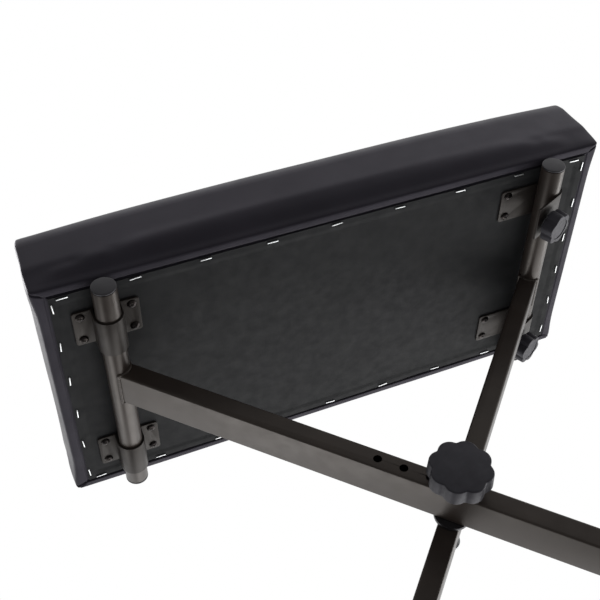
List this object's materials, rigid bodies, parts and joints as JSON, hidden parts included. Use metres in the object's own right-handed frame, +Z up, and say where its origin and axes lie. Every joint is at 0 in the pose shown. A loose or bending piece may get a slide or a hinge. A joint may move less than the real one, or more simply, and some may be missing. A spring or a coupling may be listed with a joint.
{
  "type": "piano bench",
  "caption": "Padded piano bench on a crossed-leg steel frame with a centre height knob and hooked clamp knobs under the seat.",
  "frame": {"origin": "on the floor under the middle of the seat", "axes": "+X along the seat to the right, towards the hooked tube; +Y to the back, away from the centre knob; +Z up"},
  "size_m": [0.6, 0.3, 0.5509],
  "materials": {
    "powder_coat": "satin black powder coat",
    "bracket_coat": "satin black coat on sheet steel",
    "black_screw": "black passivated",
    "zinc_steel": "bright zinc",
    "black_plastic": "fine matte texture",
    "nylon": "plain",
    "black_rubber": "matte",
    "brass": "turned brass",
    "plywood": "raw",
    "foam": "open-cell foam",
    "black_vinyl": "fine-grain soft sheen",
    "black_cloth": "thin non-woven cloth"
  },
  "bodies": {
    "leg_frame_a": {"upper_tube_left": "powder_coat", "leg_a": "powder_coat", "foot_tube_right": "powder_coat", "weld_beads_a": "powder_coat", "end_cap_left_near": "black_plastic", "end_cap_left_far": "black_plastic", "rubber_foot_right_near": "black_rubber", "rubber_foot_right_far": "black_rubber", "pivot_bolt": "zinc_steel", "bolt_washer": "zinc_steel", "leg_spacer": "nylon"},
    "leg_frame_b": {"upper_tube_right": "powder_coat", "leg_b": "powder_coat", "foot_tube_left": "powder_coat", "weld_beads_b": "powder_coat", "end_cap_right_near": "black_plastic", "end_cap_right_far": "black_plastic", "rubber_foot_left_near": "black_rubber", "rubber_foot_left_far": "black_rubber"},
    "seat": {"seat_board": "plywood", "foam_pad": "foam", "vinyl_cover": "black_vinyl", "dust_cover": "black_cloth", "staples": "zinc_steel", "hinge_saddle_near": "bracket_coat", "hinge_saddle_far": "bracket_coat", "saddle_screws_near": "black_screw", "saddle_screws_far": "black_screw", "hook_bracket_near": "bracket_coat", "hook_bracket_far": "bracket_coat", "hook_screws_near": "black_screw", "hook_screws_far": "black_screw", "clamp_nut_near": "zinc_steel", "clamp_nut_far": "zinc_steel"},
    "clamp_washer_near": {"clamp_washer_near": "zinc_steel"},
    "clamp_knob_near": {"clamp_stud_near": "zinc_steel", "clamp_knob_near": "black_plastic"},
    "clamp_washer_far": {"clamp_washer_far": "zinc_steel"},
    "clamp_knob_far": {"clamp_stud_far": "zinc_steel", "clamp_knob_far": "black_plastic"},
    "knob_washer": {"knob_washer": "zinc_steel"},
    "centre_knob": {"knob_insert": "brass", "centre_knob": "black_plastic"}
  },
  "joints": [
    {"name": "leg_fold", "type": "hinge", "parent": "leg_frame_a", "child": "leg_frame_b", "pos_m": [0, 0, 0.20862], "axis": [0, -1, 0], "range_deg": [0, 75]},
    {"name": "seat_swing", "type": "hinge", "parent": "leg_frame_a", "child": "seat", "pos_m": [-0.238, 0, 0.45976], "axis": [0, -1, 0], "range_deg": [0, 42]},
    {"name": "centre_knob_travel", "type": "slide", "parent": "leg_frame_a", "child": "knob_washer", "axis": [0, -1, 0], "range_m": [0, 0.005]},
    {"name": "centre_knob_turn", "type": "hinge", "parent": "knob_washer", "child": "centre_knob", "pos_m": [0, -0.0416, 0.20862], "axis": [0, -1, 0], "range_deg": [0, 1440]},
    {"name": "clamp_near_travel", "type": "slide", "parent": "seat", "child": "clamp_washer_near", "axis": [0.3987, 0, -0.9171], "range_m": [0, 0.004]},
    {"name": "clamp_near_turn", "type": "hinge", "parent": "clamp_washer_near", "child": "clamp_knob_near", "pos_m": [0.22666, -0.092, 0.43946], "axis": [0.3987, 0, -0.9171], "range_deg": [0, 1440]},
    {"name": "clamp_far_travel", "type": "slide", "parent": "seat", "child": "clamp_washer_far", "axis": [0.3987, 0, -0.9171], "range_m": [0, 0.004]},
    {"name": "clamp_far_turn", "type": "hinge", "parent": "clamp_washer_far", "child": "clamp_knob_far", "pos_m": [0.22666, 0.094, 0.43946], "axis": [0.3987, 0, -0.9171], "range_deg": [0, 1440]}
  ],
  "couplings": [
    {"joint": "seat_swing", "follows": "leg_fold", "ratio": 0.55},
    {"joint": "centre_knob_turn", "follows": "centre_knob_travel", "rad_per_m": 5026.5},
    {"joint": "clamp_near_turn", "follows": "clamp_near_travel", "rad_per_m": 6283.2},
    {"joint": "clamp_far_turn", "follows": "clamp_far_travel", "rad_per_m": 6283.2}
  ]
}
